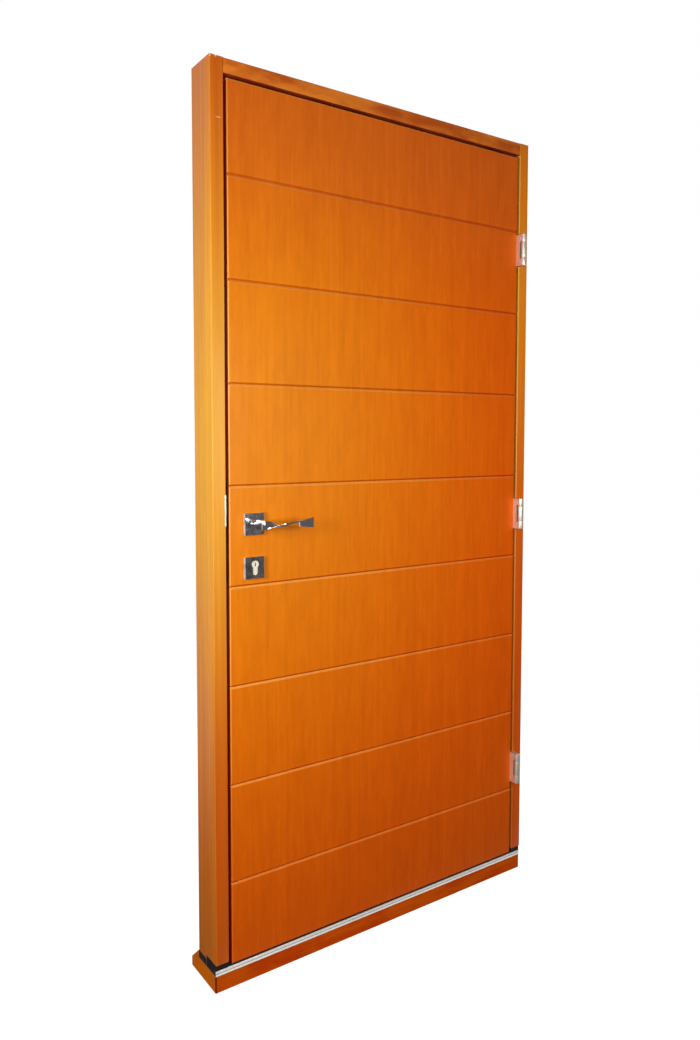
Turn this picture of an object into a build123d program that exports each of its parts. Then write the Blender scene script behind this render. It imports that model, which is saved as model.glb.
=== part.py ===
from build123d import *
import os

# Timber entrance door in its frame. Millimetres, +Z up, front face towards -Y.
# Sizes are worked out from the front face of the frame: depth 0 is that face and
# depth grows towards the back. Heights are measured from the underside of the sill.

# frame
FRAME_WIDTH = 990.0
FRAME_HEIGHT = 2090.0
FRAME_DEPTH = 92.0
FACE_WIDTH = 33.0
STOP_WIDTH = 55.0
REBATE_DEPTH = 52.0
FRAME_ARRIS = 2.5
JAMB_FOOT = 67.0

# sill and threshold
SILL_SETBACK = 4.0
SILL_DEPTH = 127.0
SILL_BED = 40.0
SILL_CREST = 58.0
SILL_NOSE = 22.0
STRIP_SETBACK = 2.5
STRIP_NOSE_DEPTH = 11.0
STRIP_NOSE_HEIGHT = 12.0
STRIP_WALL = 2.0
STRIP_GROOVE = 1.2
UPSTAND_THICKNESS = 3.0
UPSTAND_TOP = 64.0

# weather seals
SEAL_RADIUS = 3.0
SEAL_KERF_WIDTH = 3.0
SEAL_KERF_DEPTH = 6.0
SEAL_INSET = 6.0
SEAL_CLEARANCE = 0.1

# leaf
LEAF_GAP = 8.0
LEAF_THICKNESS = 44.0
FACING_THICKNESS = 8.0
LEAF_ARRIS = 2.0
THRESHOLD_CLEARANCE = 6.0
STILE_WIDTH = 115.0
TOP_RAIL_HEIGHT = 115.0
BOTTOM_RAIL_HEIGHT = 180.0
TOP_BOARD = 205.0
BOARD_PITCH = 228.0
SMALLEST_BOARD = 60.0
GROOVE_WIDTH = 8.0
GROOVE_DEPTH = 4.0

# hinges
HINGE_HEIGHT = 85.0
HINGE_INSET = 214.0
HINGE_FLAP = 3.0
HINGE_PROJECTION = 21.0
HINGE_REACH = 32.0
MIDDLE_KNUCKLE = 42.0
KNUCKLE_CLEARANCE = 0.4
KNUCKLE_RELIEF = 2.4
NOTCH_CORNER = 3.0
PIN_DIAMETER = 7.0
PIN_CLEARANCE = 0.05

# lock
BACKSET = 60.0
LEVER_HEIGHT = 1073.0
PLUG_DROP = 92.0
PLUG_DIAMETER = 17.0
PROFILE_WIDTH = 10.0
PROFILE_HEIGHT = 33.0
CYLINDER_PROUD = 2.0
CYLINDER_CLEARANCE = 0.3
KEY_SLOT_WIDTH = 2.6
KEY_SLOT_HEIGHT = 8.6
KEY_SLOT_DEPTH = 8.0
FOREND_WIDTH = 24.0
FOREND_HEIGHT = 240.0
FOREND_THICKNESS = 3.0
FOREND_DROP = 18.0
LATCH_RISE = 33.0
LATCH_WIDTH = 12.0
LATCH_HEIGHT = 22.0
LATCH_BEVEL = 9.0
DEAD_BOLT_DROP = 70.0
DEAD_BOLT_WIDTH = 14.0
DEAD_BOLT_HEIGHT = 32.0
BOLT_LENGTH = 30.0
BOLT_CLEARANCE = 0.4

# strike plate
STRIKE_THICKNESS = 3.0
STRIKE_SETBACK = 10.0
STRIKE_LIP_HEIGHT = 70.0
KEEP_DEPTH = 22.0
KEEP_MARGIN = 2.0

# roses, escutcheons and levers
ROSE_SIDE = 50.0
ROSE_THICKNESS = 8.0
ROSE_WALL = 2.0
ROSE_CHAMFER = 1.0
NECK_DIAMETER = 14.0
NECK_CLEARANCE = 0.3
NECK_LENGTH = 18.0
SPINDLE_HOLE = 22.0
SPINDLE_SIDE = 8.0
SPINDLE_CLEARANCE = 0.1
SPINDLE_ENGAGEMENT = 12.0
LEVER_STANDOFF = 47.0
LEVER_REACH = 132.0
WAIST_REACH = 37.0
GRIP_HEIGHT = 21.0
GRIP_THICKNESS = 6.0
QUARTER_TWIST = -90.0

# places that several pieces share
left_face = -FRAME_WIDTH / 2 + FACE_WIDTH
right_face = FRAME_WIDTH / 2 - FACE_WIDTH
left_stop = -FRAME_WIDTH / 2 + STOP_WIDTH
right_stop = FRAME_WIDTH / 2 - STOP_WIDTH
head_face = FRAME_HEIGHT - FACE_WIDTH
head_stop = FRAME_HEIGHT - STOP_WIDTH
strip_top = SILL_BED + STRIP_NOSE_HEIGHT
leaf_left = left_face + LEAF_GAP
leaf_right = right_face - LEAF_GAP
leaf_bottom = strip_top + THRESHOLD_CLEARANCE
leaf_top = head_face - LEAF_GAP
leaf_middle = LEAF_THICKNESS / 2
spindle_x = leaf_left + BACKSET
plug_height = LEVER_HEIGHT - PLUG_DROP
escutcheon_height = plug_height - (PROFILE_HEIGHT - PLUG_DIAMETER) / 2
forend_height = LEVER_HEIGHT - FOREND_DROP
latch_height = LEVER_HEIGHT + LATCH_RISE
dead_bolt_height = LEVER_HEIGHT - DEAD_BOLT_DROP
hinge_x = leaf_right + LEAF_GAP / 2
knuckle_radius = LEAF_GAP / 2 + HINGE_FLAP
hinge_heights = {
    "upper": leaf_top - HINGE_INSET - HINGE_HEIGHT / 2,
    "middle": (leaf_top + leaf_bottom) / 2,
    "lower": leaf_bottom + HINGE_INSET + HINGE_HEIGHT / 2,
}
leaf_mid_plane = Plane(origin=(0, leaf_middle, 0), x_dir=(1, 0, 0), z_dir=(0, 1, 0))

pieces = {}


def block(x0, x1, depth0, depth1, z0, z1):
    centre = Pos((x0 + x1) / 2, (depth0 + depth1) / 2, (z0 + z1) / 2)
    return centre * Box(x1 - x0, depth1 - depth0, z1 - z0)


def along_x(section, x0, x1):
    return extrude(Plane.YZ.offset(x0) * section, amount=x1 - x0, dir=(1, 0, 0))


def along_z(section, z0, z1):
    return extrude(Plane.XY.offset(z0) * section, amount=z1 - z0, dir=(0, 0, 1))


def along_depth(section, x, z, depth0, depth1):
    plane = Plane(origin=(x, depth0, z), x_dir=(1, 0, 0), z_dir=(0, -1, 0))
    return extrude(plane * section, amount=depth1 - depth0, dir=(0, 1, 0))


def mirror_to_back(shape):
    return mirror(shape, about=leaf_mid_plane)


def softened(section, corners, radius):
    wanted = [(round(x, 3), round(y, 3)) for x, y in corners]
    chosen = [v for v in section.vertices() if (round(v.X, 3), round(v.Y, 3)) in wanted]
    return fillet(chosen, radius)


# Jambs: rebated section run full height, stepped at the foot over the threshold.
def jamb(side):
    outer = side * FRAME_WIDTH / 2
    face = outer - side * FACE_WIDTH
    stop = outer - side * STOP_WIDTH
    seal = face - side * (LEAF_GAP + SEAL_INSET)
    section = Polygon(
        (outer, 0),
        (face, 0),
        (face, REBATE_DEPTH),
        (stop, REBATE_DEPTH),
        (stop, FRAME_DEPTH),
        (outer, FRAME_DEPTH),
    )
    corners = [(outer, 0), (face, 0), (stop, FRAME_DEPTH), (outer, FRAME_DEPTH)]
    section = softened(section, corners, FRAME_ARRIS)
    kerf = Pos(seal, REBATE_DEPTH + SEAL_KERF_DEPTH / 2) * Rectangle(SEAL_KERF_WIDTH, SEAL_KERF_DEPTH)
    post = along_z(section - kerf, SILL_CREST, FRAME_HEIGHT)
    foot = block(-FRAME_WIDTH, FRAME_WIDTH, -1, REBATE_DEPTH, SILL_CREST - 1, JAMB_FOOT)
    return post - foot


left_jamb = jamb(-1)
right_jamb = jamb(1)

# Head: the same section turned over, its ends scribed to the jambs.
head_seal_height = head_face - LEAF_GAP - SEAL_INSET
head_front = Polygon(
    (0, head_face),
    (REBATE_DEPTH, head_face),
    (REBATE_DEPTH, FRAME_HEIGHT),
    (0, FRAME_HEIGHT),
)
head_front = softened(head_front, [(0, head_face), (0, FRAME_HEIGHT)], FRAME_ARRIS)
head_back = Polygon(
    (REBATE_DEPTH, head_stop),
    (FRAME_DEPTH, head_stop),
    (FRAME_DEPTH, FRAME_HEIGHT),
    (REBATE_DEPTH, FRAME_HEIGHT),
)
head_back = softened(head_back, [(FRAME_DEPTH, head_stop), (FRAME_DEPTH, FRAME_HEIGHT)], FRAME_ARRIS)
head_kerf = Pos(REBATE_DEPTH + SEAL_KERF_DEPTH / 2, head_seal_height) * Rectangle(
    SEAL_KERF_DEPTH, SEAL_KERF_WIDTH
)
pieces["head"] = along_x(head_front, left_face, right_face) + along_x(
    head_back - head_kerf, left_stop, right_stop
)

# Sill: timber with a bed for the threshold and a weathered slope behind the frame.
sill_back = SILL_SETBACK + SILL_DEPTH
sill_section = Polygon(
    (SILL_SETBACK, 0),
    (sill_back, 0),
    (sill_back, SILL_NOSE),
    (FRAME_DEPTH, SILL_CREST),
    (FRAME_DEPTH, SILL_BED),
    (SILL_SETBACK, SILL_BED),
)
sill_section = softened(sill_section, [(sill_back, SILL_NOSE)], FRAME_ARRIS)
pieces["sill"] = along_x(sill_section, -FRAME_WIDTH / 2, FRAME_WIDTH / 2)

# Threshold strip: hollow ridged nose, flange on the bed and an upstand behind the leaf.
upstand_front = REBATE_DEPTH - UPSTAND_THICKNESS
nose_back = STRIP_SETBACK + STRIP_NOSE_DEPTH
flange_top = SILL_BED + STRIP_WALL
strip_section = Polygon(
    (STRIP_SETBACK, SILL_BED),
    (REBATE_DEPTH, SILL_BED),
    (REBATE_DEPTH, UPSTAND_TOP),
    (upstand_front, UPSTAND_TOP),
    (upstand_front, flange_top),
    (nose_back, flange_top),
    (nose_back, strip_top),
    (STRIP_SETBACK, strip_top),
)
strip_section = softened(strip_section, [(STRIP_SETBACK, strip_top)], STRIP_WALL)
strip_hollow = Polygon(
    (STRIP_SETBACK + STRIP_WALL, flange_top),
    (nose_back - STRIP_WALL, flange_top),
    (nose_back - STRIP_WALL, strip_top - STRIP_WALL),
    (STRIP_SETBACK + STRIP_WALL, strip_top - STRIP_WALL),
)
strip_groove = Pos(STRIP_SETBACK, SILL_BED + STRIP_NOSE_HEIGHT / 2) * Rectangle(
    STRIP_GROOVE, STRIP_GROOVE, rotation=45
)
pieces["threshold_strip"] = along_x(
    strip_section - strip_hollow - strip_groove, -FRAME_WIDTH / 2, FRAME_WIDTH / 2
)

# Thermal break: solid block behind the upstand that the jamb stops stand on.
break_section = Polygon(
    (REBATE_DEPTH, SILL_BED),
    (FRAME_DEPTH, SILL_BED),
    (FRAME_DEPTH, SILL_CREST),
    (REBATE_DEPTH, SILL_CREST),
)
pieces["thermal_break"] = along_x(break_section, -FRAME_WIDTH / 2, FRAME_WIDTH / 2)

# Jamb pads: moulded feet that fill the step between the strip and the jambs.
pad_section = Polygon(
    (SILL_SETBACK, strip_top),
    (nose_back, strip_top),
    (nose_back, flange_top),
    (upstand_front, flange_top),
    (upstand_front, UPSTAND_TOP),
    (REBATE_DEPTH, UPSTAND_TOP),
    (REBATE_DEPTH, JAMB_FOOT),
    (SILL_SETBACK, JAMB_FOOT),
)
pieces["left_jamb_pad"] = along_x(pad_section, -FRAME_WIDTH / 2, left_face)
pieces["right_jamb_pad"] = along_x(pad_section, right_face, FRAME_WIDTH / 2)

# Weather seals: a bulb on the stop with its stem in the kerf.
seal_bulb = Circle(SEAL_RADIUS) & Pos(0, -SEAL_RADIUS / 2) * Rectangle(2 * SEAL_RADIUS, SEAL_RADIUS)
seal_stem = Pos(0, SEAL_KERF_DEPTH / 2) * Rectangle(
    SEAL_KERF_WIDTH - 2 * SEAL_CLEARANCE, SEAL_KERF_DEPTH - 2 * SEAL_CLEARANCE
)
seal_stem += Pos(0, SEAL_CLEARANCE) * Rectangle(
    SEAL_KERF_WIDTH - 2 * SEAL_CLEARANCE, 2 * SEAL_CLEARANCE
)
seal_section = seal_bulb + seal_stem
left_seal_x = leaf_left + SEAL_INSET
pieces["left_weather_seal"] = along_z(
    Pos(left_seal_x, REBATE_DEPTH) * seal_section, UPSTAND_TOP, head_face
)
pieces["right_weather_seal"] = along_z(
    Pos(-left_seal_x, REBATE_DEPTH) * seal_section, UPSTAND_TOP, head_face
)
pieces["head_weather_seal"] = along_x(
    Pos(REBATE_DEPTH, head_seal_height) * Rot(0, 0, -90) * seal_section, left_stop, right_stop
)

# Strike plate: let into the left jamb, its lip reaching the front face beside the latch.
strike_back = leaf_middle + FOREND_WIDTH / 2
strike_top = forend_height + FOREND_HEIGHT / 2
strike_bottom = forend_height - FOREND_HEIGHT / 2
strike_x = left_face - STRIKE_THICKNESS


def strike_solid():
    plate = block(strike_x, left_face, STRIKE_SETBACK, strike_back, strike_bottom, strike_top)
    lip_bottom = latch_height - STRIKE_LIP_HEIGHT / 2
    lip_top = latch_height + STRIKE_LIP_HEIGHT / 2
    return plate + block(strike_x, left_face, 0, STRIKE_SETBACK, lip_bottom, lip_top)


def keep(width, height, z):
    half_width = width / 2 + KEEP_MARGIN
    half_height = height / 2 + KEEP_MARGIN
    return block(
        left_face - KEEP_DEPTH,
        left_face,
        leaf_middle - half_width,
        leaf_middle + half_width,
        z - half_height,
        z + half_height,
    )


keeps = keep(LATCH_WIDTH, LATCH_HEIGHT, latch_height)
keeps += keep(DEAD_BOLT_WIDTH, DEAD_BOLT_HEIGHT, dead_bolt_height)
left_jamb -= strike_solid()
left_jamb -= keeps
pieces["strike_plate"] = strike_solid() - keeps

# Leaf frame: stiles run full height, rails fit between them, a facing on each side.
rear_inside = LEAF_THICKNESS - FACING_THICKNESS
lock_stile = block(
    leaf_left, leaf_left + STILE_WIDTH, FACING_THICKNESS, rear_inside, leaf_bottom, leaf_top
)
hinge_stile = block(
    leaf_right - STILE_WIDTH, leaf_right, FACING_THICKNESS, rear_inside, leaf_bottom, leaf_top
)
rail_left = leaf_left + STILE_WIDTH
rail_right = leaf_right - STILE_WIDTH
pieces["top_rail"] = block(
    rail_left, rail_right, FACING_THICKNESS, rear_inside, leaf_top - TOP_RAIL_HEIGHT, leaf_top
)
pieces["bottom_rail"] = block(
    rail_left, rail_right, FACING_THICKNESS, rear_inside, leaf_bottom, leaf_bottom + BOTTOM_RAIL_HEIGHT
)

# Front facing: bevelled edges and level V grooves that part it into boards.
front_facing = block(leaf_left, leaf_right, 0, FACING_THICKNESS, leaf_bottom, leaf_top)
front_edges = front_facing.faces().sort_by(Axis.Y)[0].edges()
front_facing = chamfer(front_edges, LEAF_ARRIS)
groove_height = leaf_top - TOP_BOARD
while groove_height > leaf_bottom + SMALLEST_BOARD:
    groove = Polygon(
        (-GROOVE_DEPTH, groove_height + GROOVE_WIDTH),
        (GROOVE_DEPTH, groove_height),
        (-GROOVE_DEPTH, groove_height - GROOVE_WIDTH),
    )
    front_facing -= along_x(groove, leaf_left - 1, leaf_right + 1)
    groove_height -= BOARD_PITCH

# Lock cylinder: one profile through the leaf, a plug with its key slot on each face.
profile_drop = PROFILE_HEIGHT - (PLUG_DIAMETER + PROFILE_WIDTH) / 2


def profile_sketch(margin):
    plug = Circle(PLUG_DIAMETER / 2 + margin)
    web = Pos(0, -profile_drop / 2) * Rectangle(PROFILE_WIDTH + 2 * margin, profile_drop)
    foot = Pos(0, -profile_drop) * Circle(PROFILE_WIDTH / 2 + margin)
    return plug + web + foot


cylinder_front = -ROSE_THICKNESS - CYLINDER_PROUD
cylinder_back = LEAF_THICKNESS + ROSE_THICKNESS + CYLINDER_PROUD
lock_cylinder = along_depth(profile_sketch(0), spindle_x, plug_height, cylinder_front, cylinder_back)
key_slot = along_depth(
    Rectangle(KEY_SLOT_WIDTH, KEY_SLOT_HEIGHT),
    spindle_x,
    plug_height,
    cylinder_front,
    cylinder_front + KEY_SLOT_DEPTH,
)
lock_cylinder -= key_slot
lock_cylinder -= mirror_to_back(key_slot)
pieces["lock_cylinder"] = lock_cylinder

# Lock holes through the leaf, the forend and its two bolts on the lock edge.
lock_holes = along_depth(Circle(SPINDLE_HOLE / 2), spindle_x, LEVER_HEIGHT, 0, LEAF_THICKNESS)
lock_holes += along_depth(
    profile_sketch(CYLINDER_CLEARANCE), spindle_x, plug_height, 0, LEAF_THICKNESS
)
forend_recess = block(
    leaf_left,
    leaf_left + FOREND_THICKNESS,
    leaf_middle - FOREND_WIDTH / 2,
    leaf_middle + FOREND_WIDTH / 2,
    forend_height - FOREND_HEIGHT / 2,
    forend_height + FOREND_HEIGHT / 2,
)


def bolt(width, height, z, margin):
    half_width = width / 2 + margin
    half_height = height / 2 + margin
    return block(
        leaf_left,
        leaf_left + BOLT_LENGTH,
        leaf_middle - half_width,
        leaf_middle + half_width,
        z - half_height,
        z + half_height,
    )


bolt_holes = bolt(LATCH_WIDTH, LATCH_HEIGHT, latch_height, BOLT_CLEARANCE)
bolt_holes += bolt(DEAD_BOLT_WIDTH, DEAD_BOLT_HEIGHT, dead_bolt_height, BOLT_CLEARANCE)
pieces["lock_forend"] = forend_recess - bolt_holes
latch_bevel = Polygon(
    (leaf_left, leaf_middle - LATCH_WIDTH / 2 + LATCH_WIDTH / 4),
    (leaf_left, leaf_middle + LATCH_WIDTH / 2),
    (leaf_left + LATCH_BEVEL, leaf_middle + LATCH_WIDTH / 2),
)
pieces["latch_bolt"] = bolt(LATCH_WIDTH, LATCH_HEIGHT, latch_height, 0) - along_z(
    latch_bevel, latch_height - LATCH_HEIGHT, latch_height + LATCH_HEIGHT
)
pieces["dead_bolt"] = bolt(DEAD_BOLT_WIDTH, DEAD_BOLT_HEIGHT, dead_bolt_height, 0)
pieces["lock_stile"] = lock_stile - lock_holes - forend_recess - bolt_holes


# Hinges: leaf flap with two knuckles, frame flap with the middle knuckle, and a pin.
def flap(x0, notches, z):
    start = -HINGE_PROJECTION
    plate = Pos((start + HINGE_REACH) / 2, z) * Rectangle(HINGE_REACH - start, HINGE_HEIGHT)
    for z0, z1 in notches:
        reach = knuckle_radius + KNUCKLE_RELIEF
        notch = Pos(start, (z0 + z1) / 2) * RectangleRounded(2 * reach, z1 - z0, NOTCH_CORNER)
        plate -= notch
    return along_x(plate, x0, x0 + HINGE_FLAP)


def knuckle(z0, z1):
    centre = Pos(hinge_x, -HINGE_PROJECTION)
    return along_z(centre * Circle(knuckle_radius), z0, z1)


def pin_bore(z):
    centre = Pos(hinge_x, -HINGE_PROJECTION)
    radius = PIN_DIAMETER / 2 + PIN_CLEARANCE
    return along_z(centre * Circle(radius), z - HINGE_HEIGHT, z + HINGE_HEIGHT)


def hinge_pin(z):
    centre = Pos(hinge_x, -HINGE_PROJECTION)
    return along_z(centre * Circle(PIN_DIAMETER / 2), z - HINGE_HEIGHT / 2, z + HINGE_HEIGHT / 2)


leaf_recesses = []
jamb_recesses = []
for name, z in hinge_heights.items():
    bottom = z - HINGE_HEIGHT / 2
    top = z + HINGE_HEIGHT / 2
    middle_bottom = z - MIDDLE_KNUCKLE / 2
    middle_top = z + MIDDLE_KNUCKLE / 2
    lower_end = middle_bottom - KNUCKLE_CLEARANCE
    upper_end = middle_top + KNUCKLE_CLEARANCE
    leaf_flap = flap(
        leaf_right - HINGE_FLAP, [(lower_end - KNUCKLE_RELIEF, upper_end + KNUCKLE_RELIEF)], z
    )
    leaf_flap += knuckle(bottom, lower_end)
    leaf_flap += knuckle(upper_end, top)
    below = (bottom - HINGE_HEIGHT, middle_bottom + KNUCKLE_RELIEF)
    above = (middle_top - KNUCKLE_RELIEF, top + HINGE_HEIGHT)
    frame_flap = flap(right_face, [below, above], z)
    frame_flap += knuckle(middle_bottom, middle_top)
    pieces[f"{name}_hinge_leaf_flap"] = leaf_flap - pin_bore(z)
    pieces[f"{name}_hinge_frame_flap"] = frame_flap - pin_bore(z)
    pieces[f"{name}_hinge_pin"] = hinge_pin(z)
    leaf_recesses.append(flap(leaf_right - HINGE_FLAP, [], z))
    jamb_recesses.append(flap(right_face, [], z))

pieces["left_jamb"] = left_jamb
pieces["right_jamb"] = right_jamb - jamb_recesses
pieces["hinge_stile"] = hinge_stile - leaf_recesses
front_facing -= lock_holes
pieces["rear_facing"] = mirror_to_back(front_facing)
pieces["front_facing"] = front_facing - leaf_recesses

# Roses and escutcheons: square hollow caps with a bevelled rim.
def square_cap(z, hole):
    cap = block(
        spindle_x - ROSE_SIDE / 2,
        spindle_x + ROSE_SIDE / 2,
        -ROSE_THICKNESS,
        0,
        z - ROSE_SIDE / 2,
        z + ROSE_SIDE / 2,
    )
    cap = chamfer(cap.faces().sort_by(Axis.Y)[0].edges(), ROSE_CHAMFER)
    inner = ROSE_SIDE / 2 - ROSE_WALL
    cap -= block(
        spindle_x - inner, spindle_x + inner, ROSE_WALL - ROSE_THICKNESS, 0, z - inner, z + inner
    )
    return cap - hole


neck_hole = along_depth(
    Circle(NECK_DIAMETER / 2 + NECK_CLEARANCE), spindle_x, LEVER_HEIGHT, -ROSE_THICKNESS, 0
)
profile_hole = along_depth(
    profile_sketch(CYLINDER_CLEARANCE), spindle_x, plug_height, -ROSE_THICKNESS, 0
)
pieces["front_rose"] = square_cap(LEVER_HEIGHT, neck_hole)
pieces["rear_rose"] = mirror_to_back(pieces["front_rose"])
pieces["front_escutcheon"] = square_cap(escutcheon_height, profile_hole)
pieces["rear_escutcheon"] = mirror_to_back(pieces["front_escutcheon"])

# Lever: round neck and a flat leg that turns along the leaf in a tight corner.
bar_front = -LEVER_STANDOFF - GRIP_THICKNESS / 2
leg_left = spindle_x - GRIP_THICKNESS / 2
leg_right = spindle_x + GRIP_THICKNESS / 2
leg_widening = (GRIP_HEIGHT - NECK_DIAMETER) / 2
neck = along_depth(Circle(NECK_DIAMETER / 2), spindle_x, LEVER_HEIGHT, -NECK_LENGTH, 0)
leg_plan = Polygon(
    (leg_left, -NECK_LENGTH),
    (leg_left, bar_front),
    (leg_right, bar_front),
    (leg_right, -NECK_LENGTH),
)
leg_plan = softened(leg_plan, [(leg_left, bar_front)], 0.8 * GRIP_THICKNESS)
leg_outline = Polygon(
    (bar_front, LEVER_HEIGHT - GRIP_HEIGHT / 2),
    (-NECK_LENGTH - leg_widening, LEVER_HEIGHT - GRIP_HEIGHT / 2),
    (-NECK_LENGTH, LEVER_HEIGHT - NECK_DIAMETER / 2),
    (-NECK_LENGTH, LEVER_HEIGHT + NECK_DIAMETER / 2),
    (-NECK_LENGTH - leg_widening, LEVER_HEIGHT + GRIP_HEIGHT / 2),
    (bar_front, LEVER_HEIGHT + GRIP_HEIGHT / 2),
)
leg = along_z(leg_plan, LEVER_HEIGHT - GRIP_HEIGHT, LEVER_HEIGHT + GRIP_HEIGHT)
leg &= along_x(leg_outline, leg_left, leg_right)


# Grip: the bar twists a quarter turn to its waist and a second one to its tip, along straight edges.
def grip_ring(x, turn):
    across = Vector(0, 1, 0).rotate(Axis.X, turn)
    plane = Plane(origin=(x, -LEVER_STANDOFF, LEVER_HEIGHT), x_dir=across, z_dir=(1, 0, 0))
    a = GRIP_THICKNESS / 2
    b = GRIP_HEIGHT / 2
    return [plane.from_local_coords((u, v, 0)) for u, v in ((-a, b), (-a, -b), (a, -b), (a, b))]


def wide_side(near, far, i, j):
    return [Face.make_surface_from_curves(Edge.make_line(near[i], near[j]), Edge.make_line(far[i], far[j]))]


def narrow_side(near, far, i, j):
    corners = ([near[i], near[j], far[j]], [near[i], far[j], far[i]])
    return [Face(Wire.make_polygon(points)) for points in corners]


grip_root = grip_ring(leg_right, 0)
grip_waist = grip_ring(spindle_x + WAIST_REACH, QUARTER_TWIST)
grip_tip = grip_ring(spindle_x + LEVER_REACH, 2 * QUARTER_TWIST)
before_waist = [(a + b) / 2 for a, b in zip(grip_root, grip_waist)]
after_waist = [(a + b) / 2 for a, b in zip(grip_waist, grip_tip)]
grip_rings = [grip_root, before_waist, grip_waist, after_waist, grip_tip]
grip_faces = [Face(Wire.make_polygon(grip_root)), Face(Wire.make_polygon(grip_tip))]
for near, far in zip(grip_rings, grip_rings[1:]):
    grip_faces += wide_side(near, far, 0, 1) + wide_side(near, far, 2, 3)
    grip_faces += narrow_side(near, far, 1, 2) + narrow_side(near, far, 3, 0)
grip = Solid(Shell(grip_faces))
socket_side = SPINDLE_SIDE + 2 * SPINDLE_CLEARANCE
socket = along_depth(
    Rectangle(socket_side, socket_side), spindle_x, LEVER_HEIGHT, -SPINDLE_ENGAGEMENT, 0
)
pieces["front_lever"] = neck + leg + grip - socket
pieces["rear_lever"] = mirror_to_back(pieces["front_lever"])
pieces["spindle"] = along_depth(
    Rectangle(SPINDLE_SIDE, SPINDLE_SIDE),
    spindle_x,
    LEVER_HEIGHT,
    -SPINDLE_ENGAGEMENT + SPINDLE_CLEARANCE,
    LEAF_THICKNESS + SPINDLE_ENGAGEMENT - SPINDLE_CLEARANCE,
)

# The origin is under the middle of the sill, half way through the frame's depth.
os.makedirs("parts", exist_ok=True)
for name, solid in pieces.items():
    export_step(Pos(0, -FRAME_DEPTH / 2, 0) * solid, f"parts/{name}.step")
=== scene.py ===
import math

import bpy
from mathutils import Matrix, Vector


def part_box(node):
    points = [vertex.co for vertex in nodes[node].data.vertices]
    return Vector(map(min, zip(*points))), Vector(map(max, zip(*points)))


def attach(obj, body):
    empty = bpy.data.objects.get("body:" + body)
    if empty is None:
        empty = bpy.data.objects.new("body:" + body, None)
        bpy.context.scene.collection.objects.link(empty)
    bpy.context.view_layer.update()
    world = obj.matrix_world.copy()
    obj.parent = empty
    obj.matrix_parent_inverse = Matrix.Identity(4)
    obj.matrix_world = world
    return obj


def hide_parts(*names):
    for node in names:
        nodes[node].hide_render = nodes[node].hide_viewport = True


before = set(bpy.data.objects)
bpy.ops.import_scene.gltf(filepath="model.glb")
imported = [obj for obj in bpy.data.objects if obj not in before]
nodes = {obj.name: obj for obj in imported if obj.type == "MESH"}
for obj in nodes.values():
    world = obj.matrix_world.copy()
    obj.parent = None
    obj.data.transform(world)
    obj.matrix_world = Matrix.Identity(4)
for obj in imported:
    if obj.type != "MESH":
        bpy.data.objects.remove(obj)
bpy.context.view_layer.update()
bpy.ops.object.select_all(action="DESELECT")

# Jambs: the two uprights of the frame, planed from glued softwood lamellas with the
# grain upright. The amber stain is painted palest round a lit centre, beside the lock on
# the left jamb and high up on the right, and deeper and redder away from it: a painted
# pool of light. The arrises are worn pale under the satin lacquer, with a painted
# highlight on them that is strongest near the lit centre.
JAMB_FACE_PALE = (242, 170, 34)
JAMB_FACE_DEEP = (226, 100, 8)
JAMB_SIDE_PALE = (250, 178, 24)
JAMB_SIDE_DEEP = (243, 132, 2)
RIGHT_JAMB_PALE = (255, 150, 24)
RIGHT_JAMB_DEEP = (240, 98, 3)
BARE_WOOD = (250, 214, 146)
LEFT_LIGHT_POOL = (-0.478, 0.0, 1.3)
RIGHT_LIGHT_POOL = (0.478, 0.0, 1.75)
LIGHT_POOL_REACH = (1.0, 1.0, 0.98)
JAMB_GRAIN = 0.06
FRAME_GLOSS = 0.3
LAMELLA = 0.0305
LAMELLA_LINE = 0.0008
WORN_ARRIS = 0.0025
frame_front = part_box("left_jamb")[0].y


def stain(rgb):
    """A colour picked as 0-255 values, made linear for a shader."""
    linear = []
    for value in rgb:
        value = value / 255
        linear.append(value / 12.92 if value <= 0.04045 else ((value + 0.055) / 1.055) ** 2.4)
    return (*linear, 1.0)


def shade(tree, kind, inputs=None, **settings):
    """Adds a node, sets it up, and links or sets its inputs."""
    made = tree.nodes.new(kind)
    for key, value in settings.items():
        setattr(made, key, value)
    for key, value in (inputs or {}).items():
        if isinstance(value, bpy.types.NodeSocket):
            tree.links.new(value, made.inputs[key])
        else:
            made.inputs[key].default_value = value
    return made


def sums(tree, operation, *values):
    return shade(tree, "ShaderNodeMath", dict(enumerate(values)), operation=operation).outputs[0]


def vectors(tree, operation, *values):
    return shade(tree, "ShaderNodeVectorMath", dict(enumerate(values)), operation=operation).outputs


def blend_tones(tree, amount, low, high, mode="MIX"):
    sockets = {0: amount, 6: low, 7: high}
    return shade(tree, "ShaderNodeMix", sockets, data_type="RGBA", blend_type=mode).outputs[2]


def spread(tree, value, low, high, to_low=0.0, to_high=1.0):
    sockets = {0: value, 1: low, 2: high, 3: to_low, 4: to_high}
    return shade(tree, "ShaderNodeMapRange", sockets, interpolation_type="SMOOTHSTEP").outputs[0]


def cloud(tree, place, stretch, detail=3.0, rough=0.55, drift=0.0):
    scaled = shade(tree, "ShaderNodeMapping", {"Vector": place, "Scale": stretch}).outputs[0]
    sockets = {"Vector": scaled, "Scale": 1.0, "Detail": detail, "Roughness": rough, "Distortion": drift}
    return shade(tree, "ShaderNodeTexNoise", sockets).outputs[0]


def new_finish(name):
    finish = bpy.data.materials.new(name)
    finish.use_nodes = True
    tree = finish.node_tree
    own = shade(tree, "ShaderNodeTexCoord").outputs["Object"]
    return finish, tree, tree.nodes["Principled BSDF"], own


def facing(tree):
    """Which way a face points, as X, Y and Z."""
    true = shade(tree, "ShaderNodeNewGeometry").outputs["True Normal"]
    return shade(tree, "ShaderNodeSeparateXYZ", {0: true}).outputs


def place_of(tree, own):
    return shade(tree, "ShaderNodeSeparateXYZ", {0: own}).outputs


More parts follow.
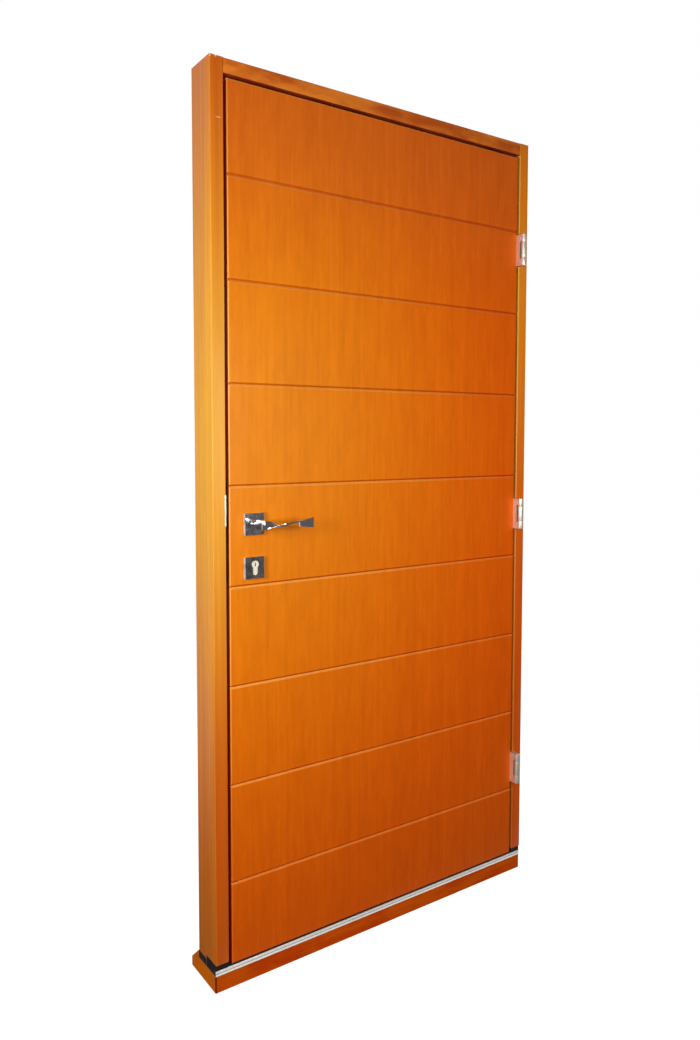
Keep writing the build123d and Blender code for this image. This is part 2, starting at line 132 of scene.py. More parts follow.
def arris_mask(tree, radius):
    """Near 1 along sharp edges, 0 on the flats."""
    rounded = shade(tree, "ShaderNodeBevel", {"Radius": radius}, samples=4).outputs[0]
    true = shade(tree, "ShaderNodeNewGeometry").outputs["Normal"]
    return spread(tree, vectors(tree, "DOT_PRODUCT", rounded, true)["Value"], 0.995, 0.8)


def distance_from(tree, own, focus, reach):
    """How far a point lies from a focus, as a share of a reach that differs by axis."""
    offset = vectors(tree, "SUBTRACT", own, focus)["Vector"]
    return vectors(tree, "LENGTH", vectors(tree, "DIVIDE", offset, reach)["Vector"])["Value"]


def timber_grain(tree, own, along, seed, contrast):
    """Streaks, bands and fibres of straight-grained timber, as a shade near 1."""
    place = shade(tree, "ShaderNodeMapping", {"Vector": own, "Location": (seed, seed, seed)}).outputs[0]

    def stretched(across, length):
        return (length, across, across) if along == "X" else (across, across, length)

    streaks = cloud(tree, place, stretched(95.0, 0.9), 4.0, 0.6, 0.15)
    bands = cloud(tree, place, stretched(17.0, 0.35), 2.0, 0.5)
    fibres = cloud(tree, place, stretched(900.0, 14.0), 2.0, 0.6)
    pores = cloud(tree, place, stretched(1500.0, 40.0), 1.0, 0.5)
    weave = spread(tree, streaks, 0.3, 0.7, 1.0 - contrast, 1.0 + 0.6 * contrast)
    for pattern, darker, paler in ((bands, 0.7, 0.5), (fibres, 0.8, 0.4)):
        tone = spread(tree, pattern, 0.3, 0.7, 1.0 - darker * contrast, 1.0 + paler * contrast)
        weave = sums(tree, "MULTIPLY", weave, tone)
    weave = sums(tree, "MULTIPLY", weave, spread(tree, pores, 0.3, 0.42, 1.0 - contrast, 1.0))
    return weave, fibres, streaks


def lacquer(tree, surface, colour, weave, fibres, streaks, wear_and_highlight, pale_tone, gloss):
    """Joins stain, grain, arrises that are worn pale and carry painted highlights, satin gloss and
    relief to the surface.
    """
    red = sums(tree, "POWER", weave, 0.6)
    deepened = shade(tree, "ShaderNodeCombineColor", {0: red, 1: weave, 2: weave})
    grained = blend_tones(tree, 1.0, colour, deepened.outputs[0], "MULTIPLY")
    paled = blend_tones(tree, wear_and_highlight, grained, pale_tone)
    tree.links.new(paled, surface.inputs["Base Color"])
    tree.links.new(spread(tree, streaks, 0.3, 0.7, 0.4, 0.5), surface.inputs["Roughness"])
    surface.inputs["Specular IOR Level"].default_value = gloss
    surface.inputs["Coat Weight"].default_value = 0.3 * gloss
    surface.inputs["Coat Roughness"].default_value = 0.2
    relief = shade(tree, "ShaderNodeBump", {"Strength": 0.12, "Distance": 0.0005, "Height": fibres})
    tree.links.new(relief.outputs[0], surface.inputs["Normal"])


def jamb_finish(name, face_tones, side_tones, palest, seed, local_wear_and_light):
    finish, tree, surface, own = new_finish(name)
    weave, fibres, streaks = timber_grain(tree, own, "Z", seed, JAMB_GRAIN)
    # Painted pool of light: the tones deepen and redden away from the lit centre.
    deep = spread(tree, distance_from(tree, own, palest, LIGHT_POOL_REACH), 0.0, 1.0)
    # The sides take paler, yellower tones than the faces: partly the timber's own tone, partly painted
    # light for the key light falling on them.
    sideways = spread(tree, sums(tree, "ABSOLUTE", facing(tree)["X"]), 0.3, 0.8)
    face = blend_tones(tree, deep, stain(face_tones[0]), stain(face_tones[1]))
    side = blend_tones(tree, deep, stain(side_tones[0]), stain(side_tones[1]))
    stained = blend_tones(tree, sideways, face, side)
    weave = sums(tree, "POWER", weave, spread(tree, sideways, 0.0, 1.0, 1.0, 2.4))
    patches = spread(tree, cloud(tree, own, (70.0, 70.0, 1.6), 3.0, 0.6), 0.3, 0.7, 0.86, 1.06)
    weave = sums(tree, "MULTIPLY", weave, patches)
    depth = place_of(tree, own)["Y"]
    joint = frame_front + LAMELLA
    from_line = sums(tree, "ABSOLUTE", sums(tree, "SUBTRACT", depth, joint))
    glue_line = spread(tree, from_line, 0.5 * LAMELLA_LINE, 2 * LAMELLA_LINE, 0.84, 1.0)
    weave = sums(tree, "MULTIPLY", weave, glue_line)
    behind = spread(tree, depth, joint, joint + LAMELLA_LINE, 1.0, 0.93)
    weave = sums(tree, "MULTIPLY", weave, behind)
    rubbing = spread(tree, cloud(tree, own, (40.0, 40.0, 6.0)), 0.3, 0.7, 0.1, 0.6)
    wear_and_highlight = sums(tree, "MULTIPLY", arris_mask(tree, WORN_ARRIS), rubbing)
    # The arrises' paleness is partly wear and partly a painted highlight, which fades away from the lit
    # centre.
    wear_and_highlight = sums(tree, "MULTIPLY", wear_and_highlight, spread(tree, deep, 0.0, 0.8, 1.0, 0.25))
    wear_and_highlight = sums(tree, "MAXIMUM", wear_and_highlight, local_wear_and_light(tree, own))
    lacquer(tree, surface, stained, weave, fibres, streaks, wear_and_highlight, stain(BARE_WOOD), FRAME_GLOSS)
    return finish


# The right jamb's rebate is painted pale along its front edge, a painted light where
# light falls into the gap beside the hinges, more so towards the top.
REBATE_LIGHT_DEPTH = 0.009
REBATE_LIGHT_FROM = 0.3
REBATE_LIGHT_TO = 1.3


def painted_rebate_light(tree, own):
    place = place_of(tree, own)
    inward = spread(tree, facing(tree)["X"], -0.6, -0.8)
    depth = spread(tree, place["Y"], frame_front + REBATE_LIGHT_DEPTH, frame_front + REBATE_LIGHT_DEPTH / 2)
    share = spread(tree, place["Z"], REBATE_LIGHT_FROM, REBATE_LIGHT_TO, 0.08, 0.22)
    return sums(tree, "MULTIPLY", sums(tree, "MULTIPLY", inward, depth), share)


nodes["right_jamb"].material_slots[0].material = jamb_finish(
    "right_jamb_lacquer",
    face_tones=(RIGHT_JAMB_PALE, RIGHT_JAMB_DEEP),
    side_tones=(JAMB_SIDE_PALE, JAMB_SIDE_DEEP),
    palest=RIGHT_LIGHT_POOL,
    seed=8.4,
    local_wear_and_light=painted_rebate_light,
)

# The left jamb has two small chips at its top corner and a scratch below them, all down
# to bare wood.
CHIPS = (
    ((-0.4935, -0.046, 2.0866), (0.0022, 0.004, 0.0024), 0.85),
    ((-0.4804, -0.046, 2.0881), (0.0030, 0.004, 0.0020), 0.85),
    ((-0.4749, -0.046, 1.9604), (0.0075, 0.004, 0.0016), 0.45),
)


def chipped(tree, own):
    bared = 0.0
    ragged = spread(tree, cloud(tree, own, (500.0, 500.0, 500.0)), 0.3, 0.7, -0.35, 0.35)
    for place, size, depth in CHIPS:
        apart = sums(tree, "ADD", distance_from(tree, own, place, size), ragged)
        bared = sums(tree, "MAXIMUM", bared, spread(tree, apart, 0.8, 1.1, depth, 0.0))
    return bared


nodes["left_jamb"].material_slots[0].material = jamb_finish(
    "left_jamb_lacquer",
    face_tones=(JAMB_FACE_PALE, JAMB_FACE_DEEP),
    side_tones=(JAMB_SIDE_PALE, JAMB_SIDE_DEEP),
    palest=LEFT_LIGHT_POOL,
    seed=3.1,
    local_wear_and_light=chipped,
)

# Head and sill: rails of the same lacquered timber with their grain level. The stain took
# darker and blotchy on the head, and red-brown on the sill.
HEAD_PALE = (241, 133, 36)
HEAD_DEEP = (206, 92, 18)
SILL_PALE = (236, 98, 10)
SILL_DEEP = (222, 74, 4)
SILL_LIT_END = (255, 132, 16)
HEAD_BARE = (222, 150, 80)
SILL_BARE = (226, 140, 70)
RAIL_GRAIN = 0.08
SILL_GLOSS = 0.02
PALER_REACH = 0.16
DARK_CORNER_WIDTH = 0.004
head_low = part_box("head")[0]
sill_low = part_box("sill")[0]


def rail_finish(name, pale, deep, end, pale_tone, seed, gloss, local_shade):
    finish, tree, surface, own = new_finish(name)
    weave, fibres, streaks = timber_grain(tree, own, "X", seed, RAIL_GRAIN)
    blotches = spread(tree, cloud(tree, own, (9.0, 30.0, 30.0), 4.0, 0.6), 0.35, 0.65)
    stained = blend_tones(tree, blotches, stain(deep), stain(pale))
    end_faces = spread(tree, sums(tree, "ABSOLUTE", facing(tree)["X"]), 0.5, 0.9)
    stained = blend_tones(tree, end_faces, stained, stain(end))
    weave = sums(tree, "MULTIPLY", weave, local_shade(tree, own))
    wear_and_highlight = sums(tree, "MULTIPLY", arris_mask(tree, WORN_ARRIS), 0.3)
    lacquer(tree, surface, stained, weave, fibres, streaks, wear_and_highlight, stain(pale_tone), gloss)
    return finish


def head_shade(tree, own):
    """Painted shade on the head's underside, and paler by the left jamb."""
    under = spread(tree, facing(tree)["Z"], -0.4, -0.8, 1.0, 0.2)
    across = place_of(tree, own)["X"]
    beside_jamb = spread(tree, across, head_low.x, head_low.x + PALER_REACH, 1.3, 1.0)
    return sums(tree, "MULTIPLY", under, beside_jamb)


def sill_shade(tree, own):
    """A dark line down the sill's front corner at the lock side."""
    from_corner = distance_from(tree, own, (sill_low.x, sill_low.y, 0.0), (1.0, 1.0, 1000.0))
    return spread(tree, from_corner, DARK_CORNER_WIDTH / 2, DARK_CORNER_WIDTH, 0.12, 1.0)


nodes["head"].material_slots[0].material = rail_finish(
    "head_lacquer",
    pale=HEAD_PALE,
    deep=HEAD_DEEP,
    end=HEAD_DEEP,
    pale_tone=HEAD_BARE,
    seed=5.7,
    gloss=FRAME_GLOSS,
    local_shade=head_shade,
)
# Painted light: the sill's end faces take a paler tone, standing in for the key light from the left.
nodes["sill"].material_slots[0].material = rail_finish(
    "sill_lacquer",
    pale=SILL_PALE,
    deep=SILL_DEEP,
    end=SILL_LIT_END,
    pale_tone=SILL_BARE,
    seed=11.2,
    gloss=SILL_GLOSS,
    local_shade=sill_shade,
)

# Threshold: a mill-finish aluminium extrusion bedded on the sill, with fine die lines
# along its length. Painted shade darkens its top, under the leaf, and the nose's groove.
MILLED = (255, 252, 244)
STRIP_SHADE = (62, 54, 46)
UNSHADED_FRONT = 0.0012
STRIP_SHADE_EDGE = 0.001
NOSE_GROOVE = 0.006
GROOVE_HALF = 0.0008
strip_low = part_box("threshold_strip")[0]


def metal_finish(name, colour, brushed, rough, seed, edge, tarnish, metallic):
    """Bare or plated metal: drawn lines along one axis, dull patches and painted highlights along the
    edges.
    """
    finish, tree, surface, own = new_finish(name)
    place = shade(tree, "ShaderNodeMapping", {"Vector": own, "Location": (seed, seed, seed)}).outputs[0]
    lines = cloud(tree, place, brushed, 2.0, 0.6)
    smears = cloud(tree, place, (60.0, 60.0, 60.0), 4.0, 0.65, 0.4)
    dulled = spread(tree, smears, 0.35, 0.75, 1.0, 1.0 - 2 * tarnish)
    drawn = sums(tree, "MULTIPLY", dulled, spread(tree, lines, 0.3, 0.7, 1.0 - tarnish, 1.0))
    # Painted highlight: the base colour is brightened along sharp edges.
    edge_highlight = sums(tree, "MULTIPLY", arris_mask(tree, 0.0008), edge)
    lit = sums(tree, "MULTIPLY", drawn, sums(tree, "ADD", 1.0, edge_highlight))
    greyed = shade(tree, "ShaderNodeCombineColor", {0: lit, 1: lit, 2: lit}).outputs[0]
    plated = blend_tones(tree, 1.0, stain(colour), greyed, "MULTIPLY")
    tree.links.new(plated, surface.inputs["Base Color"])
    gloss = sums(tree, "ADD", spread(tree, lines, 0.3, 0.7, -0.2 * rough, 0.2 * rough), rough)
    gloss = sums(tree, "ADD", gloss, spread(tree, smears, 0.45, 0.8, 0.0, 0.6 * rough))
    tree.links.new(gloss, surface.inputs["Roughness"])
    relief = shade(tree, "ShaderNodeBump", {"Strength": 0.08, "Distance": 0.0002, "Height": lines})
    tree.links.new(relief.outputs[0], surface.inputs["Normal"])
    surface.inputs["Metallic"].default_value = metallic
    return finish


def overlaid(finish, rgb, mask):
    """Lays a second colour over a finish, where a mask made from places on the piece is 1."""
    tree = finish.node_tree
    surface = tree.nodes["Principled BSDF"]
    own = shade(tree, "ShaderNodeTexCoord").outputs["Object"]
    first = surface.inputs["Base Color"].links[0].from_socket
    both = blend_tones(tree, mask(tree, place_of(tree, own)), first, stain(rgb))
    tree.links.new(both, surface.inputs["Base Color"])
    return finish


def painted_strip_shade(tree, place):
    # Painted shade: the strip's top behind its front edge, and the nose's groove, are darkened.
    unshaded_to = strip_low.y + UNSHADED_FRONT
    on_top = spread(tree, place["Y"], unshaded_to, unshaded_to + STRIP_SHADE_EDGE, 0.0, 0.9)
    rise = sums(tree, "SUBTRACT", place["Z"], strip_low.z + NOSE_GROOVE)
    from_groove = sums(tree, "ABSOLUTE", rise)
    in_groove = spread(tree, from_groove, 1.6 * GROOVE_HALF, GROOVE_HALF, 0.0, 0.6)
    return sums(tree, "MAXIMUM", on_top, in_groove)


ALONG_X = (4.0, 1400.0, 1400.0)
ALONG_Z = (1400.0, 1400.0, 4.0)
threshold_mill = metal_finish(
    "threshold_mill_finish", MILLED, ALONG_X, rough=0.35, seed=1.0, edge=0.2, tarnish=0.02, metallic=0.55
)
nodes["threshold_strip"].material_slots[0].material = overlaid(threshold_mill, STRIP_SHADE, painted_strip_shade)

# Thermal break and jamb pads: a hard black moulding behind the threshold's upstand, and
# two softer black feet that fill the step under the jambs.
BREAK_BLACK = (30, 29, 28)
PAD_BLACK = (17, 15, 13)
DUST = (70, 64, 56)
CHALK = (96, 92, 86)


def black_finish(name, rgb, rough, grain, seed):
    finish, tree, surface, own = new_finish(name)
    place = shade(tree, "ShaderNodeMapping", {"Vector": own, "Location": (seed, seed, seed)}).outputs[0]
    skin = cloud(tree, place, (grain, grain, grain), 3.0, 0.6)
    dust = cloud(tree, place, (35.0, 35.0, 35.0), 4.0, 0.65)
    dusty = blend_tones(tree, spread(tree, dust, 0.5, 0.85, 0.0, 0.3), stain(rgb), stain(DUST))
    edge = sums(tree, "MULTIPLY", arris_mask(tree, 0.001), 0.25)
    chalked = blend_tones(tree, edge, dusty, stain(CHALK))
    tree.links.new(chalked, surface.inputs["Base Color"])
    tree.links.new(spread(tree, skin, 0.3, 0.7, rough - 0.08, rough + 0.1), surface.inputs["Roughness"])
    relief = shade(tree, "ShaderNodeBump", {"Strength": 0.2, "Distance": 0.0003, "Height": skin})
    tree.links.new(relief.outputs[0], surface.inputs["Normal"])
    surface.inputs["Specular IOR Level"].default_value = 0.3
    return finish


nodes["thermal_break"].material_slots[0].material = black_finish(
    "thermal_break_moulding", BREAK_BLACK, rough=0.55, grain=900.0, seed=2.0
)
pad_rubber = black_finish("jamb_pad_rubber", PAD_BLACK, rough=0.7, grain=1300.0, seed=4.0)
for name in ("left_jamb_pad", "right_jamb_pad"):
    nodes[name].material_slots[0].material = pad_rubber

# Weather seals: soft black bulbs of extruded rubber, each with a stem pressed into a kerf
# in the frame's stop.
SEAL_BLACK = (24, 23, 22)
seal_rubber = black_finish("weather_seal_rubber", SEAL_BLACK, rough=0.62, grain=1600.0, seed=6.0)
for name in ("left_weather_seal", "right_weather_seal", "head_weather_seal"):
    nodes[name].material_slots[0].material = seal_rubber

# Leaf: stiles and rails under a veneered facing on each side. The veneer runs upright
# across the level grooves. Its orange stain is painted palest round a lit centre beside
# the lock and deepens to red towards the hinges, the top and the foot: a painted pool of light.
LEAF_PALE = (238, 136, 6)
LEAF_DEEP = (242, 98, 3)
LEAF_TOP = (226, 108, 30)
LEAF_ARRIS_HIGHLIGHT = (255, 198, 112)
GROOVE_LIP_HIGHLIGHT = (255, 190, 92)
LIP_WIDTH = 0.0022
TOP_ARRIS = 0.002
LEAF_LIGHT_POOL = (-0.454, 0.0, 1.29)
LEAF_REACH = (1.0, 10.0, 1.3)
TOP_REACH = 0.5
LEAF_GRAIN = 0.055
LEAF_GLOSS = 0.12
leaf_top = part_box("front_facing")[1].z
finish, tree, surface, own = new_finish("leaf_veneer")
weave, fibres, streaks = timber_grain(tree, own, "Z", 2.3, LEAF_GRAIN)
mottle = cloud(tree, own, (60.0, 60.0, 11.0), 5.0, 0.75)
weave = sums(tree, "MULTIPLY", weave, spread(tree, mottle, 0.3, 0.7, 0.91, 1.07))
# Painted pool of light: the tones deepen and redden away from the lit centre and towards the top.
deep = spread(tree, distance_from(tree, own, LEAF_LIGHT_POOL, LEAF_REACH), 0.0, 1.05)
stained = blend_tones(tree, deep, stain(LEAF_PALE), stain(LEAF_DEEP))
level = place_of(tree, own)["Z"]
high_up = spread(tree, level, leaf_top - TOP_REACH, leaf_top, 0.0, 0.6)
stained = blend_tones(tree, high_up, stained, stain(LEAF_TOP))
# The lower lip of each groove, where it turns up, carries a painted highlight in a pale
# colour, strongest near the lit centre. Its upper lip and the faces that point down carry
# painted shade, and the faces that point up are a little darker.
turning = shade(tree, "ShaderNodeBevel", {"Radius": LIP_WIDTH}, samples=6).outputs[0]
turning_up = place_of(tree, turning)["Z"]
paled = spread(tree, deep, 0.3, 1.0, 0.58, 0.26)
lip = sums(tree, "MULTIPLY", spread(tree, turning_up, 0.05, 0.3), paled)
stained = blend_tones(tree, lip, stained, stain(GROOVE_LIP_HIGHLIGHT))
pointing = facing(tree)
weave = sums(tree, "MULTIPLY", weave, spread(tree, pointing["Z"], -0.1, -0.4, 1.0, 0.74))
weave = sums(tree, "MULTIPLY", weave, spread(tree, pointing["Z"], 0.1, 0.4, 1.0, 0.92))
weave = sums(tree, "MULTIPLY", weave, spread(tree, turning_up, -0.05, -0.3, 1.0, 0.78))
# The upright and top arrises carry a painted highlight in a pale colour, the upright
# ones strongest near the lit centre, and the leaf's edges carry painted shade, dark as
# in the gaps.
upright_arris = sums(tree, "ABSOLUTE", sums(tree, "MULTIPLY", pointing["X"], pointing["Y"]))
upright_arris = spread(tree, upright_arris, 0.3, 0.45, 0.0, 0.45)
upright_arris = sums(tree, "MULTIPLY", upright_arris, spread(tree, deep, 0.1, 0.9, 1.0, 0.2))
highlight_from = leaf_top - TOP_ARRIS
top_arris = spread(tree, level, highlight_from - 0.0005, highlight_from + 0.0005, 0.0, 0.6)
wear_and_highlight = sums(tree, "MAXIMUM", upright_arris, top_arris)
# Painted shade: the leaf's edges, facing sideways, are darkened as in the gaps.
edgeways = spread(tree, sums(tree, "ABSOLUTE", pointing["X"]), 0.8, 0.95, 1.0, 0.22)
weave = sums(tree, "MULTIPLY", weave, edgeways)
lacquer(tree, surface, stained, weave, fibres, streaks, wear_and_highlight, stain(LEAF_ARRIS_HIGHLIGHT), LEAF_GLOSS)
for name in ("front_facing", "rear_facing", "lock_stile", "hinge_stile", "top_rail", "bottom_rail"):
    nodes[name].material_slots[0].material = finish

# Lock and strike: plated steel forend and bolts on the leaf's edge, and the strike plate
# let into the left jamb.
LOCK_STEEL = (200, 198, 192)
lock_plating = metal_finish(
    "lock_plating", LOCK_STEEL, ALONG_Z, rough=0.3, seed=3.0, edge=0.3, tarnish=0.06, metallic=1.0
)
for name in ("lock_forend", "latch_bolt", "dead_bolt", "spindle", "strike_plate"):
    nodes[name].material_slots[0].material = lock_plating

# Lock cylinder: a nickel-plated brass profile pushed through the leaf and held by a screw
# in the forend. Painted shade darkens it inside its key slots.
NICKEL = (250, 240, 216)
SLOT_SHADE = (36, 26, 16)
SLOT_LIT = 0.0004
SLOT_DARK = 0.0016
FINE_GRAIN = (900.0, 900.0, 900.0)
cylinder_low, cylinder_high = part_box("lock_cylinder")


def in_slots(tree, place):
    middle = (cylinder_low.y + cylinder_high.y) / 2
    half_length = (cylinder_high.y - cylinder_low.y) / 2
    from_middle = sums(tree, "ABSOLUTE", sums(tree, "SUBTRACT", place["Y"], middle))
    return spread(tree, from_middle, half_length - SLOT_LIT, half_length - SLOT_DARK)


cylinder_plating = metal_finish(
    "cylinder_nickel", NICKEL, FINE_GRAIN, rough=0.5, seed=7.0, edge=0.2, tarnish=0.02, metallic=0.6
)
nodes["lock_cylinder"].material_slots[0].material = overlaid(cylinder_plating, SLOT_SHADE, in_slots)

# Hinges: three butt hinges of bright plated steel. Each flap is a plate let in flush, its
# edge rolled into knuckles round a loose pin: two knuckles on the leaf flap, one between
# them on the frame flap. Modelled once at the middle hinge and copied up and down.
HINGE_STEEL = (248, 243, 228)
FLAP = 0.003
KNUCKLE_GAP = 0.0004
RELIEF = 0.0024
WINDOW_CORNER = 0.003
ROLLED_EDGE = 0.0005
MIDDLE_KNUCKLE = 0.042
PIN_EDGE = 0.0008
PIN_SLACK = 0.00005
SHARP_ANGLE = 40.0
SMOOTH_ANGLE = 35.0
hinge_plating = metal_finish(
    "hinge_plating", HINGE_STEEL, ALONG_Z, rough=0.42, seed=5.0, edge=0.3, tarnish=0.06, metallic=0.75
)
pin_low, pin_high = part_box("middle_hinge_pin")
leaf_low, leaf_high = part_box("middle_hinge_leaf_flap")
frame_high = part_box("middle_hinge_frame_flap")[1]
axis = (pin_low + pin_high) / 2
pin_radius = (pin_high.x - pin_low.x) / 2
knuckle_radius = (leaf_high.x - leaf_low.x) / 2
hinge_half = (pin_high.z - pin_low.z) / 2
middle_half = MIDDLE_KNUCKLE / 2


def slab(low, high):
    """A block between two corners, with its place in its mesh."""
    middle = [(a + b) / 2 for a, b in zip(low, high)]
    size = [b - a for a, b in zip(low, high)]
    bpy.ops.mesh.primitive_cube_add(size=1.0, location=middle, scale=size)
    bpy.ops.object.transform_apply(location=True, rotation=True, scale=True)
    return bpy.context.object


def rounded(piece, width, segments):
    """Rounds the piece's sharp edges."""
    edges = piece.modifiers.new("edges", "BEVEL")
    edges.width = width
    edges.segments = segments
    edges.limit_method = "ANGLE"
    edges.angle_limit = math.radians(SHARP_ANGLE)
    bpy.context.view_layer.objects.active = piece
    bpy.ops.object.modifier_apply(modifier="edges")
    return piece


def combined(piece, other, operation):
    """Joins the other piece to this one or cuts it away, and removes it."""
    join = piece.modifiers.new("join", "BOOLEAN")
    join.object = other
    join.operation = operation
    join.solver = "EXACT"
    bpy.context.view_layer.objects.active = piece
    bpy.ops.object.modifier_apply(modifier="join")
    bpy.data.objects.remove(other)
    return piece


def turned(radius, low, high):
    """A round bar on the hinge's axis."""
    bpy.ops.mesh.primitive_cylinder_add(
        vertices=64, radius=radius, depth=high - low, location=(axis.x, axis.y, (low + high) / 2)
    )
    bpy.ops.object.transform_apply(location=True, rotation=True, scale=True)
    return bpy.context.object


def notch(x, low, high):
    """The rounded clearance that a flap leaves round the other flap's knuckle."""
    reach = knuckle_radius + RELIEF
    corner = (x - FLAP, axis.y - reach, low)
    return rounded(slab(corner, (x + 2 * FLAP, axis.y + reach, high)), WINDOW_CORNER, 5)


def hinge_piece(name, x, back, notches, knuckles):
    plate = slab((x, axis.y, axis.z - hinge_half), (x + FLAP, back, axis.z + hinge_half))
    for low, high in notches:
        combined(plate, notch(x, axis.z + low, axis.z + high), "DIFFERENCE")
    rounded(plate, ROLLED_EDGE, 2)
    for low, high in knuckles:
        barrel = rounded(turned(knuckle_radius, axis.z + low, axis.z + high), ROLLED_EDGE, 3)
        combined(plate, barrel, "UNION")
    bore = turned(pin_radius + PIN_SLACK, axis.z - 2 * hinge_half, axis.z + 2 * hinge_half)
    combined(plate, bore, "DIFFERENCE")
    plate.name = name
    return plate


def finished(piece, material):
    """Gives a piece its one material and smooth shading between its edges."""
    piece.data.materials.clear()
    piece.data.materials.append(material)
    bpy.ops.object.select_all(action="DESELECT")
    piece.select_set(True)
    bpy.context.view_layer.objects.active = piece
    bpy.ops.object.shade_smooth_by_angle(angle=math.radians(SMOOTH_ANGLE))
    return piece


def copied(piece, name, move):
    """A copy with its own mesh, moved and set back at the origin."""
    bpy.ops.object.select_all(action="DESELECT")
    piece.select_set(True)
    bpy.context.view_layer.objects.active = piece
    bpy.ops.object.duplicate(linked=False)
    bpy.ops.transform.translate(value=move)
    bpy.ops.object.transform_apply(location=True, rotation=True, scale=True)
    bpy.context.object.name = name
    return bpy.context.object


split = middle_half + KNUCKLE_GAP
leaf_flap = hinge_piece(
    "middle_leaf_flap",
    leaf_low.x,
    leaf_high.y,
    [(-split - RELIEF, split + RELIEF)],
    [(-hinge_half, -split), (split, hinge_half)],
)
frame_flap = hinge_piece(
    "middle_frame_flap",
    frame_high.x - FLAP,
    frame_high.y,
    [(-2 * hinge_half, RELIEF - middle_half), (middle_half - RELIEF, 2 * hinge_half)],
    [(-middle_half, middle_half)],
)
pin = rounded(turned(pin_radius, axis.z - hinge_half, axis.z + hinge_half), PIN_EDGE, 3)
pin.name = "middle_pin"
hinge_members = {
    "leaf_flap": (leaf_flap, "leaf"),
    "frame_flap": (frame_flap, "frame"),
    "pin": (pin, "frame"),
}
for member, (piece, body) in hinge_members.items():
    finished(piece, hinge_plating)
    for height in ("upper", "lower", "middle"):
        node = f"{height}_hinge_{member}"
        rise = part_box(node)[0].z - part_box(f"middle_hinge_{member}")[0].z
        own_piece = piece
        if height != "middle":
            own_piece = copied(piece, f"{height}_{member}", (0.0, 0.0, rise))
        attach(own_piece, body)
        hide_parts(node)

# Screws: countersunk cross-head screws of the same plated steel, three to a hinge flap,
# two in the forend, two in the strike plate and one that holds the cylinder. Modelled
# once in the upper leaf flap, and copied and turned round for the rest.
HEAD_RADIUS = 0.0038
HEAD_PROUD = 0.0003
HEAD_SUNK = 0.0008
CROSS_LENGTH = 0.0042
CROSS_WIDTH = 0.0009
FLAP_SCREWS = ((-0.029, 0.030), (-0.022, 0.0), (-0.029, -0.030))
PLATE_END = 0.011
leaf_face = leaf_low.x + FLAP
frame_face = frame_high.x - FLAP
forend_low, forend_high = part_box("lock_forend")
strike_low, strike_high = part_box("strike_plate")
forend_y = (forend_low.y + forend_high.y) / 2
cylinder_z = (cylinder_low.z + cylinder_high.z) / 2
leaf_screws = {}
frame_screws = {}
for height in ("upper", "middle", "lower"):
    hinge_low, hinge_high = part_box(f"{height}_hinge_pin")
    for number, (y, rise) in enumerate(FLAP_SCREWS):
        z = (hinge_low.z + hinge_high.z) / 2 + rise
        leaf_screws[f"{height}_leaf_screw_{number}"] = (leaf_face, y, z)
        frame_screws[f"{height}_frame_screw_{number}"] = (frame_face, y, z)
forend_screws = {}
for number, z in enumerate((forend_low.z + PLATE_END, forend_high.z - PLATE_END, cylinder_z)):
    forend_screws[f"forend_screw_{number}"] = (forend_low.x, forend_y, z)
strike_screws = {}
for number, z in enumerate((strike_low.z + PLATE_END, strike_high.z - PLATE_END)):
    strike_screws[f"strike_screw_{number}"] = (strike_high.x, forend_y, z)

first_place = leaf_screws["upper_leaf_screw_0"]
bpy.ops.mesh.primitive_cylinder_add(
    vertices=32,
    radius=HEAD_RADIUS,
    depth=HEAD_PROUD + HEAD_SUNK,
    location=(first_place[0] + (HEAD_PROUD - HEAD_SUNK) / 2, first_place[1], first_place[2]),
    rotation=(0.0, math.radians(90.0), 0.0),
)
bpy.ops.object.transform_apply(location=True, rotation=True, scale=True)
first_screw = rounded(bpy.context.object, HEAD_PROUD * 0.8, 2)
for wide, tall in ((CROSS_LENGTH, CROSS_WIDTH), (CROSS_WIDTH, CROSS_LENGTH)):
    low = (first_place[0] - HEAD_SUNK * 0.6, first_place[1] - wide / 2, first_place[2] - tall / 2)
    high = (first_place[0] + HEAD_SUNK, first_place[1] + wide / 2, first_place[2] + tall / 2)
    combined(first_screw, slab(low, high), "DIFFERENCE")
first_screw.name = "upper_leaf_screw_0"
finished(first_screw, hinge_plating)


def driven(places, turned_round, body):
    """Copies the screw to each place, with its head towards +X or turned to -X."""
    for name, place in places.items():
        head = first_screw
        if name != first_screw.name:
            head = copied(first_screw, name, [a - b for a, b in zip(place, first_place)])
        if turned_round:
            bpy.ops.transform.rotate(value=math.pi, orient_axis="Z", center_override=place)
            bpy.ops.object.transform_apply(location=True, rotation=True, scale=True)
        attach(head, body)


driven(leaf_screws, False, "leaf")
driven(frame_screws, True, "frame")
driven(forend_screws, True, "leaf")
driven(strike_screws, False, "frame")

# Roses and escutcheons: square pressed caps, chromed and polished on the front and left
# satin on their upright sides.
CAP_CHROME = (244, 244, 244)
HANDLED = (240.0, 240.0, 240.0)
cap_chrome = metal_finish(
    "cap_chrome", CAP_CHROME, HANDLED, rough=0.08, seed=4.0, edge=0.2, tarnish=0.32, metallic=1.0
)
tree = cap_chrome.node_tree
surface = tree.nodes["Principled BSDF"]
satin_side = spread(tree, sums(tree, "ABSOLUTE", facing(tree)["X"]), 0.5, 0.9, 1.0, 0.2)
tree.links.new(satin_side, surface.inputs["Metallic"])
for name in ("front_rose", "rear_rose", "front_escutcheon", "rear_escutcheon"):
    nodes[name].material_slots[0].material = cap_chrome

